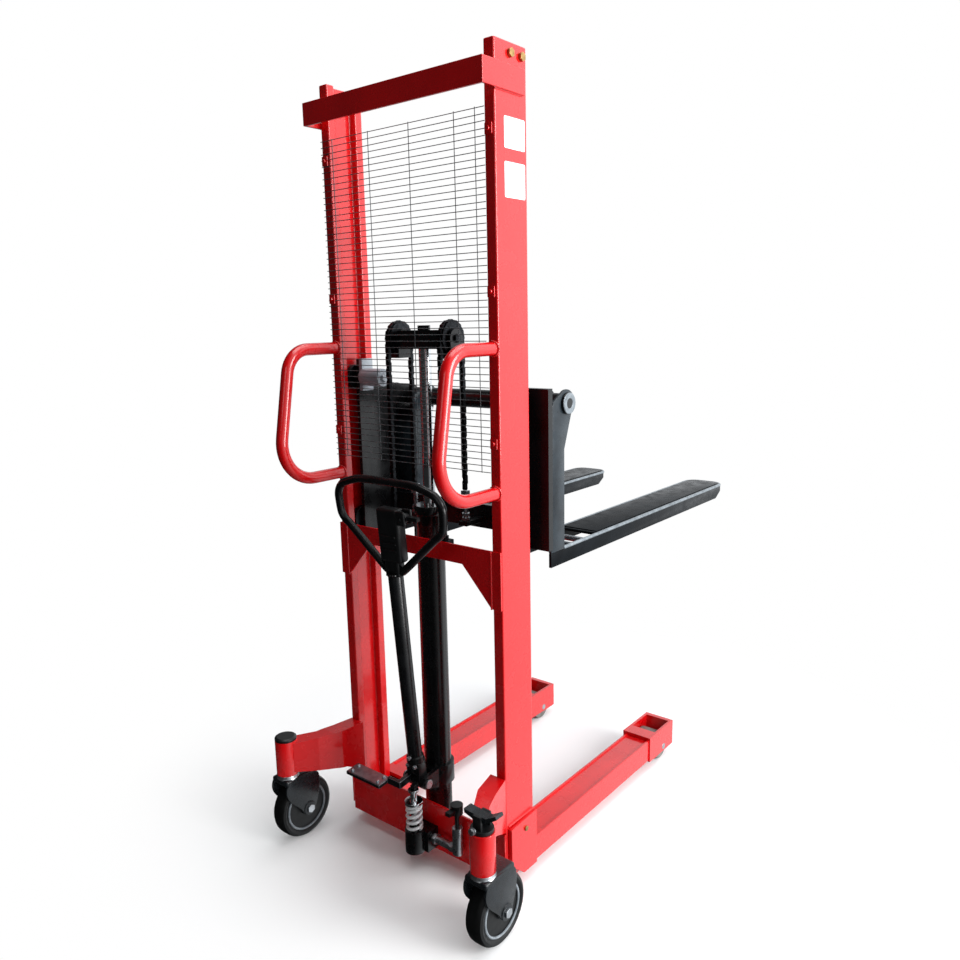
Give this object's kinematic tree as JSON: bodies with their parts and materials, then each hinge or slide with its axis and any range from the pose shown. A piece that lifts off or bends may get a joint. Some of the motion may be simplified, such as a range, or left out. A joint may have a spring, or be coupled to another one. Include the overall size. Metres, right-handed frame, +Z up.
{
  "type": "hand pallet stacker",
  "caption": "Manual pallet stacker with a two-channel mast, chain-lifted fork carriage, straddle legs, swivel casters and a pump worked by tiller or pedal.",
  "frame": {"origin": "on the floor under the middle of the bounding box", "axes": "+Y forward along the forks, +X to the right of a person pushing, +Z up"},
  "size_m": [0.816, 1.52, 2.08],
  "materials": {
    "red_paint": "glossy red powder coat",
    "black_paint": "glossy black paint",
    "zinc": "zinc-plated steel",
    "chain_steel": "oiled dark steel",
    "chrome": "bright plated",
    "grey_paint": "light grey paint",
    "black_plastic": "moulded black nylon",
    "fork_grey": "dark slate moulding",
    "tyre": "black polyurethane on a nylon hub",
    "nylon": "grey nylon"
  },
  "bodies": {
    "frame": {"left_upright": "red_paint", "right_upright": "red_paint", "top_crossbar": "red_paint", "mid_crossbeam": "red_paint", "base_plate": "red_paint", "left_shoe": "red_paint", "right_shoe": "red_paint", "left_leg": "red_paint", "right_leg": "red_paint", "left_caster_arm": "red_paint", "right_caster_arm": "red_paint", "left_handle": "red_paint", "right_handle": "red_paint", "mesh_guard": "zinc", "mesh_clips": "zinc", "lift_cylinder": "black_paint", "pump_block": "black_paint", "tiller_bracket": "black_paint", "tiller_pin": "zinc", "release_valve": "zinc", "rear_chain_anchors": "zinc", "frame_bolts": "zinc", "leg_roller_axles": "zinc", "left_sleeve_cap": "black_paint", "brake_mount": "black_paint", "rear_chains": "chain_steel"},
    "ram": {"piston_rod": "chrome", "crosshead": "black_paint", "crosshead_bolt": "zinc", "sheave_pins": "zinc", "chain_wraps": "chain_steel"},
    "left_sheave": {"left_sheave": "chain_steel"},
    "right_sheave": {"right_sheave": "chain_steel"},
    "carriage": {"carriage_frame": "black_paint", "fork_bar": "black_paint", "guide_blocks": "grey_paint", "chain_anchors": "zinc", "front_chains": "chain_steel"},
    "upper_left_roller": {"upper_left_roller": "chain_steel"},
    "upper_right_roller": {"upper_right_roller": "chain_steel"},
    "lower_left_roller": {"lower_left_roller": "chain_steel"},
    "lower_right_roller": {"lower_right_roller": "chain_steel"},
    "left_fork": {"left_fork": "black_paint"},
    "right_fork": {"right_fork": "black_paint"},
    "tiller": {"tiller": "black_paint", "grip_housing": "black_plastic", "foot_pedal": "black_paint"},
    "release_lever": {"release_lever": "black_plastic"},
    "plunger": {"pump_plunger": "chrome", "pump_spring": "chrome"},
    "valve_knob": {"valve_knob": "black_plastic"},
    "left_caster": {"left_caster_fork": "fork_grey", "left_caster_axle": "zinc"},
    "right_caster": {"right_caster_fork": "fork_grey", "right_caster_axle": "zinc"},
    "left_caster_wheel": {"left_caster_wheel": "tyre"},
    "right_caster_wheel": {"right_caster_wheel": "tyre"},
    "right_brake_pedal": {"right_brake_pedal": "black_paint"},
    "left_leg_roller": {"left_leg_roller": "nylon"},
    "right_leg_roller": {"right_leg_roller": "nylon"}
  },
  "joints": [
    {"name": "piston_lift", "type": "slide", "parent": "frame", "child": "ram", "axis": [0, 0, 1], "range_m": [-0.38, 0.355], "deforming": ["rear_chains"]},
    {"name": "carriage_lift", "type": "slide", "parent": "ram", "child": "carriage", "axis": [0, 0, 1], "range_m": [-0.38, 0.355], "deforming": ["front_chains"]},
    {"name": "left_sheave_turn", "type": "hinge", "parent": "ram", "child": "left_sheave", "pos_m": [-0.09, -0.466, 1.435], "axis": [1, 0, 0], "continuous": true},
    {"name": "left_fork_slide", "type": "slide", "parent": "carriage", "child": "left_fork", "axis": [1, 0, 0], "range_m": [0, 0.04]},
    {"name": "upper_left_roller_turn", "type": "hinge", "parent": "carriage", "child": "upper_left_roller", "pos_m": [-0.263, -0.466, 1.331], "axis": [1, 0, 0], "continuous": true},
    {"name": "lower_left_roller_turn", "type": "hinge", "parent": "carriage", "child": "lower_left_roller", "pos_m": [-0.263, -0.466, 0.93], "axis": [1, 0, 0], "continuous": true},
    {"name": "left_caster_swivel", "type": "hinge", "parent": "frame", "child": "left_caster", "pos_m": [-0.36, -0.713, 0.26], "axis": [0, 0, 1], "continuous": true},
    {"name": "left_caster_roll", "type": "hinge", "parent": "left_caster", "child": "left_caster_wheel", "pos_m": [-0.36, -0.67, 0.09], "axis": [1, 0, 0], "continuous": true},
    {"name": "left_leg_roll", "type": "hinge", "parent": "frame", "child": "left_leg_roller", "pos_m": [-0.246, 0.343, 0.045], "axis": [1, 0, 0], "continuous": true},
    {"name": "right_sheave_turn", "type": "hinge", "parent": "ram", "child": "right_sheave", "pos_m": [0.09, -0.466, 1.435], "axis": [1, 0, 0], "continuous": true},
    {"name": "right_fork_slide", "type": "slide", "parent": "carriage", "child": "right_fork", "axis": [-1, 0, 0], "range_m": [0, 0.04]},
    {"name": "upper_right_roller_turn", "type": "hinge", "parent": "carriage", "child": "upper_right_roller", "pos_m": [0.263, -0.466, 1.331], "axis": [1, 0, 0], "continuous": true},
    {"name": "lower_right_roller_turn", "type": "hinge", "parent": "carriage", "child": "lower_right_roller", "pos_m": [0.263, -0.466, 0.93], "axis": [1, 0, 0], "continuous": true},
    {"name": "right_caster_swivel", "type": "hinge", "parent": "frame", "child": "right_caster", "pos_m": [0.36, -0.713, 0.26], "axis": [0, 0, 1], "continuous": true},
    {"name": "right_caster_roll", "type": "hinge", "parent": "right_caster", "child": "right_caster_wheel", "pos_m": [0.36, -0.67, 0.09], "axis": [1, 0, 0], "continuous": true},
    {"name": "right_brake", "type": "hinge", "parent": "frame", "child": "right_brake_pedal", "pos_m": [0.36, -0.713, 0.349], "axis": [0, 1, 0], "range_deg": [-8, 12]},
    {"name": "right_leg_roll", "type": "hinge", "parent": "frame", "child": "right_leg_roller", "pos_m": [0.246, 0.343, 0.045], "axis": [1, 0, 0], "continuous": true},
    {"name": "tiller_pump", "type": "hinge", "parent": "frame", "child": "tiller", "pos_m": [0, -0.551, 0.24], "axis": [1, 0, 0], "range_deg": [0, 50], "stiffness_Nm_per_rad": 45, "springref_deg": -34.38},
    {"name": "plunger_stroke", "type": "slide", "parent": "frame", "child": "plunger", "axis": [0, 0, 1], "range_m": [-0.033, 0], "deforming": ["pump_spring"]},
    {"name": "release_squeeze", "type": "hinge", "parent": "tiller", "child": "release_lever", "pos_m": [0.054, -0.61741, 0.9991], "axis": [0, 0.9962, 0.0872], "range_deg": [0, 12], "stiffness_Nm_per_rad": 0.6, "springref_deg": -17.19},
    {"name": "valve_turn", "type": "hinge", "parent": "frame", "child": "valve_knob", "pos_m": [0.141, -0.552, 0.205], "axis": [0, 0, 1], "range_deg": [-60, 60]}
  ],
  "couplings": [
    {"joint": "carriage_lift", "follows": "piston_lift", "ratio": 1},
    {"joint": "plunger_stroke", "follows": "tiller_pump", "m_per_rad": -0.036},
    {"joint": "left_sheave_turn", "follows": "piston_lift", "rad_per_m": 24.096},
    {"joint": "right_sheave_turn", "follows": "piston_lift", "rad_per_m": 24.096}
  ]
}
